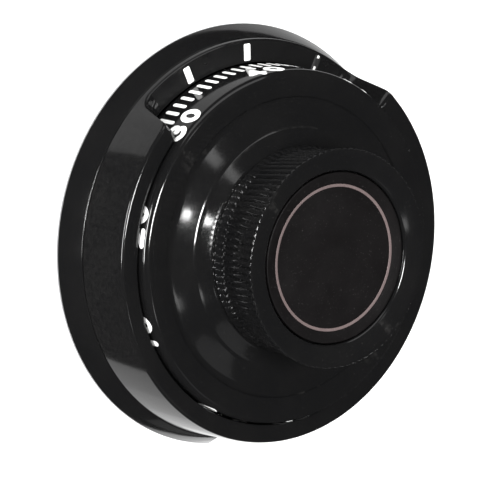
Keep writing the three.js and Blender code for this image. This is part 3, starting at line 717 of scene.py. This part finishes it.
def flat_cells(strokes, half_width, width, height, cell=0.28):
    """The inside of thick strokes as small polygons: square cells, cut where the edge crosses them."""
    margin = 0.5
    xs = np.arange(-margin, width + margin + cell, cell)
    ys = np.arange(-margin, height + margin + cell, cell)
    x, y = np.meshgrid(xs, ys, indexing="ij")
    inside = half_width - distance_to(strokes, x, y)
    cells = []
    for i in range(len(xs) - 1):
        for j in range(len(ys) - 1):
            loop = [(i, j), (i + 1, j), (i + 1, j + 1), (i, j + 1)]
            polygon = []
            for a, b in zip(loop, loop[1:] + loop[:1]):
                fa, fb = inside[a], inside[b]
                ax, ay, bx, by = xs[a[0]], ys[a[1]], xs[b[0]], ys[b[1]]
                if fa > 0:
                    polygon.append((ax, ay))
                if (fa > 0) != (fb > 0):
                    t = fa / (fa - fb)
                    polygon.append((ax + t * (bx - ax), ay + t * (by - ay)))
            if len(polygon) > 2:
                cells.append(polygon)
    return cells


def on_drum(along, s, height, tick_angle):
    """A point over the drum's surface.

    along is the distance clockwise from the tick, and s runs up Z and then round the front edge.
    """
    centre_r = DRUM_RADIUS - DRUM_EDGE_ROUND
    centre_z = DRUM_FACE_Z - DRUM_EDGE_ROUND
    bend = max(0.0, (s - centre_z) / DRUM_EDGE_ROUND)
    radius = centre_r + (DRUM_EDGE_ROUND + height) * math.cos(bend)
    z = min(s, centre_z) + (DRUM_EDGE_ROUND + height) * math.sin(bend)
    return polar(radius, tick_angle - math.degrees(along / DRUM_RADIUS), z)


def add_paint(body, cells, left, front, tick_angle):
    """Adds a thin closed patch of paint to a body. The cells' y runs from its front end towards the back."""
    sheets = []
    for height in (PAINT, -PAINT_ROOT):
        known = {}
        faces = []
        for polygon in cells:
            corners = []
            for x, y in polygon:
                key = (round(x, 5), round(y, 5))
                if key not in known:
                    known[key] = body.verts.new(on_drum(left + x, front - y, height, tick_angle) * MM)
                if known[key] not in corners:
                    corners.append(known[key])
            if len(corners) > 2:
                faces.append(corners)
        sheets.append((known, faces))
    (upper, upper_faces), (lower, lower_faces) = sheets
    below = {upper[key]: lower[key] for key in upper}
    sides = {}
    for corners in upper_faces:
        body.faces.new(corners)
        for a, b in zip(corners, corners[1:] + corners[:1]):
            sides[(a, b)] = (b, a)
    for corners in lower_faces:
        body.faces.new(list(reversed(corners)))
    for (a, b), twin in sides.items():
        if twin not in sides:
            body.faces.new((b, a, below[a], below[b]))


def tick_angle(n):
    """The angle of a division, counter-clockwise from 3 o'clock."""
    return FIRST_TICK_ANGLE - 360 / DIVISIONS * n


def build_scale():
    """The white divisions and figures painted on the drum."""
    ticks = bmesh.new()
    for n in range(LAST_TICK + 1):
        step = 10 if n % 10 == 0 else 5 if n % 5 == 0 else 1
        length = TICK_FRONT_Z[step] - TICK_BACK_Z
        half = TICK_WIDTH / 2
        stroke = [line((half, half), (half, length - half))]
        cells = flat_cells(stroke, half, TICK_WIDTH, length, 0.3)
        add_paint(ticks, cells, -half, TICK_FRONT_Z[step], tick_angle(n))
    finished(to_object("scale_divisions", ticks), "dial", PAINT_WHITE, "white_enamel")

    strokes = figure_strokes()
    shapes = {k: flat_cells(s, STROKE / 2, FIGURE_WIDTH, FIGURE_HEIGHT) for k, s in strokes.items()}
    front = FIGURE_BACK_Z + FIGURE_HEIGHT
    widths = {k: ZERO_WIDTH if k == "0" else FIGURE_WIDTH for k in strokes}
    for n in range(0, DIVISIONS, 10):
        figures = bmesh.new()
        text = str(n)
        width = sum(widths[digit] for digit in text) + FIGURE_GAP * (len(text) - 1)
        left = FIGURE_SHIFT - width / 2
        for digit in text:
            add_paint(figures, shapes[digit], left, front, tick_angle(n))
            left += widths[digit] + FIGURE_GAP
        finished(to_object(f"scale_figure_{n}", figures), "dial", PAINT_WHITE, "white_enamel")


# ---------------------------------------------------------------- knob and start button
def build_knob():
    """The fluted knob, hollow behind, with a recess in its face for the start button."""
    seat, recess = KNOB_LOW.z, CAP_HIGH.x + 0.4
    waist = seat + KNOB_WAIST_HEIGHT
    rim_inside, recess_floor, hollow_top = 33.2, KNOB_Z - 7.3, KNOB_Z - 10.3
    well, well_floor, hub, bore = 13, seat + 7.4, 15.5, 4.3
    outline = rounded([
        (rim_inside, seat, 0.3), (KNOB_FOOT_RADIUS, seat, 0.3), (KNOB_WAIST_RADIUS, waist, 4),
        (KNOB_RADIUS, KNOB_Z, 0.55), (KNOB_RADIUS - 1.5, KNOB_Z, 0.35),
        (recess + 0.1, KNOB_Z - 1.35, 1.3), (recess, recess_floor), (well, recess_floor),
        (well, well_floor), (bore, well_floor), (bore, seat), (hub, seat), (hub, hollow_top),
        (rim_inside, hollow_top),
    ])
    per_flute = 8
    columns = []
    for i in range(FLUTES * per_flute):
        phase = (i % per_flute) / per_flute
        depth = FLUTE_DEPTH * (1 - abs(math.cos(math.pi * phase)) ** 0.8)
        angle = 360 * i / (FLUTES * per_flute)
        points = []
        for radius, z in outline:
            side = KNOB_WAIST_RADIUS + (KNOB_RADIUS - KNOB_WAIST_RADIUS) * (z - waist) / (KNOB_Z - waist)
            fluted = min(1, (z - seat) / 0.8)
            if z < waist:
                outside = radius > rim_inside + 0.8
                points.append(polar(radius - depth * fluted if outside else radius, angle, z))
            else:
                points.append(polar(min(radius, side - depth), angle, z))
        columns.append(points)
    knob = to_object("fluted_knob", skin(columns))
    finished(knob, "dial", GLOSS, "black_moulding", "knob")


def build_button():
    """The start button: a dished satin cap with a thin inlaid metal ring."""
    ring_inner = TRIM_HIGH.x - TRIM_GROOVE
    ring_outer = ring_inner + TRIM_WIDTH
    ring_top = TRIM_HIGH.z
    groove_inner, groove_outer = ring_inner - 0.05, ring_outer + 0.05
    edge = CAP_HIGH.x
    back = CAP_LOW.z + 4.1
    bore, boss = 1.9, 4.2
    cap = turned("start_cap", rounded([
        (bore, CAP_LOW.z), (boss, CAP_LOW.z), (boss, back), (edge, back, 0.3), (edge, CAP_HIGH.z, 0.35),
        (edge - 0.9, CAP_HIGH.z - 0.15, 0.4), (groove_outer, ring_top + 0.02, 0.05),
        (groove_outer, TRIM_LOW.z), (groove_inner, TRIM_LOW.z), (groove_inner, ring_top - 0.12, 0.05),
        (0, ring_top - 0.6), (0, back - 0.1), (bore, back - 0.1),
    ]))
    finished(cap, "start_button", SATIN, "satin_cap", "button_cap")
    ring = turned("trim_ring", rounded([
        (ring_inner, TRIM_LOW.z), (ring_outer, TRIM_LOW.z),
        (ring_outer, ring_top, 0.12), (ring_inner, ring_top - 0.08, 0.12),
    ]))
    finished(ring, "start_button", TRIM_METAL, "ring_metal", "cap_ring")


# ---------------------------------------------------------------- inside
def build_spring():
    """The button's return spring, as short as the pressed button makes it, so that the cap clears it."""
    low, high = box_mm("return_spring")
    wire = SPRING_WIRE / 2
    start, end = low.z + wire, high.z - wire - BUTTON_TRAVEL - FIT
    steps = SPRING_TURNS * 36
    columns = []
    for i in range(steps + 1):
        z = start + (end - start) * i / steps
        section = [(SPRING_RADIUS + x, z + y) for x, y in arc(0, 0, wire, wire, 0, 360)[:-1:2]]
        columns.append(column(section, 10 * i))
    spring = to_object("cap_spring", skin(columns, wrap=False))
    finished(spring, "dial", STEEL, "steel", "return_spring")


def finish_inside():
    """The works keep their CAD shapes and get their metals and boards."""
    by_slot = {"brass": BRASS, "steel": STEEL, "phenolic": PHENOLIC, "white_enamel": PAINT_WHITE}
    slots = {part["node"]: part["material_slot"] for part in frame["record"]["subparts"]}
    for name, node in frame["nodes"].items():
        if node.hide_render:
            continue
        node.data.materials.clear()
        node.data.materials.append(by_slot[slots[name]])


# ---------------------------------------------------------------- stage, light and camera
def build_floor():
    """A pale floor under the timer, kept out of its reflections."""
    half = 3.0
    mesh = bpy.data.meshes.new("floor")
    corners = [(-half, -half, 0), (half, -half, 0), (half, half, 0), (-half, half, 0)]
    mesh.from_pydata(corners, [], [(0, 1, 2, 3)])
    floor = bpy.data.objects.new("floor", mesh)
    SCENE.collection.objects.link(floor)
    shader = Shader("pale_floor", (0.9, 0.9, 0.9), 0.9)
    shader.tint(shader.levels(shader.noise(120, 3), 0.3, 0.7), (0.88, 0.88, 0.88))
    mesh.materials.append(shader.material)
    floor.visible_glossy = False
    floor.visible_shadow = False


def build_world():
    """An even white surround that is dark in reflections, so that the black mouldings stay black."""
    world = bpy.data.worlds.new("studio")
    SCENE.world = world
    world.use_nodes = True
    nodes, links = world.node_tree.nodes, world.node_tree.links
    background = nodes["Background"]
    path = nodes.new("ShaderNodeLightPath")
    mix = nodes.new("ShaderNodeMix")
    mix.data_type = "RGBA"
    mix.inputs[6].default_value = (1, 1, 1, 1)
    mix.inputs[7].default_value = (0.02, 0.02, 0.02, 1)
    links.new(path.outputs["Is Glossy Ray"], mix.inputs["Factor"])
    links.new(mix.outputs[2], background.inputs["Color"])
    background.inputs["Strength"].default_value = 1.1


def softbox(name, azimuth, elevation, distance, width, height, radiance):
    """A rectangular light that faces the timer.

    Azimuth is counter-clockwise from +X, and radiance 1 is as bright as paper.
    """
    data = bpy.data.lights.new(name, "AREA")
    data.shape = "RECTANGLE"
    data.size, data.size_y = width, height
    data.energy = radiance * math.pi * width * height
    light = bpy.data.objects.new(name, data)
    SCENE.collection.objects.link(light)
    a, e = math.radians(azimuth), math.radians(elevation)
    out = Vector((math.cos(a) * math.cos(e), math.sin(a) * math.cos(e), math.sin(e)))
    light.location = out * distance + Vector((0, 0, 0.02))
    light.rotation_mode = "QUATERNION"
    light.rotation_quaternion = out.to_track_quat("Z", "Y")
    return light


def panel(name, azimuth0, azimuth1, elevation0, elevation1, radiance, distance=0.8):
    """An upright light facing the timer's axis, between two azimuths and elevations seen from the timer."""
    low, high = (distance * math.tan(math.radians(e)) for e in (elevation0, elevation1))
    width = 2 * distance * math.tan(math.radians(azimuth1 - azimuth0) / 2)
    light = softbox(name, (azimuth0 + azimuth1) / 2, 0, distance, width, high - low, radiance)
    light.location.z = (low + high) / 2 + 0.02
    return light


def build_camera():
    """A long lens from the front left, so that the timer's axis points to the right and a little down."""
    azimuth = math.radians(-107.76)
    elevation = math.radians(50.98)
    roll = math.radians(102.86)
    aim = Vector((-8.95, -1.15, 23.87)) * MM
    distance = 1.725
    data = bpy.data.cameras.new("camera")
    data.sensor_width = 36
    data.lens = 356.6
    data.clip_start, data.clip_end = 0.1, 50
    camera = bpy.data.objects.new("camera", data)
    SCENE.collection.objects.link(camera)
    level = Vector((math.cos(azimuth), math.sin(azimuth), 0))
    back = Vector((level.y, -level.x, 0)) * math.cos(elevation) + Vector((0, 0, math.sin(elevation)))
    up = back.cross(level)
    right = level * math.cos(roll) + up * math.sin(roll)
    up = back.cross(right)
    facing = Matrix((right, up, back)).transposed().to_4x4()
    camera.matrix_world = Matrix.Translation(aim + back * distance) @ facing
    SCENE.camera = camera


def build_lights():
    """The lights, each placed where the mouldings show its reflection.

    The wall panels stand low, because the collar's upright wall mirrors what lies below the camera's line.
    """
    for n in range(5):
        start = -16 + 30 * n
        panel(f"wall_upper_{n}", start, start + 30, -56, -28, 0.6)
    for n, radiance in enumerate((0.9, 1.05, 1.25, 1.5, 1.9)):
        start = -112 + 20 * n
        panel(f"wall_lower_{n}", start, start + 20, -54, -33, radiance)
    panel("rim_lower", -85, -25, -31, -14, 0.15)
    panel("flutes", 158, 186, 4, 13, 35)
    softbox("top", 88, 28, 1.5, 1.4, 0.75, 1.3)
    softbox("overhead", 72, 87.5, 1.5, 0.07, 0.07, 45)
    softbox("overhead_left", 157, 76, 1.5, 0.4, 0.2, 90)
    softbox("overhead_front", -68, 70, 1.5, 0.3, 0.08, 3)
    softbox("overhead_back", 46, 71, 1.5, 0.3, 0.09, 2.5)
    softbox("low_front", -68, 52, 1.5, 0.35, 0.35, 0.3)


build_base_ring()
build_housing()
build_marks()
build_cover()
build_glands()
build_drum()
build_scale()
build_knob()
build_button()
build_spring()
finish_inside()

build_floor()
build_world()
build_camera()
build_lights()
SCENE.view_settings.view_transform = "Standard"
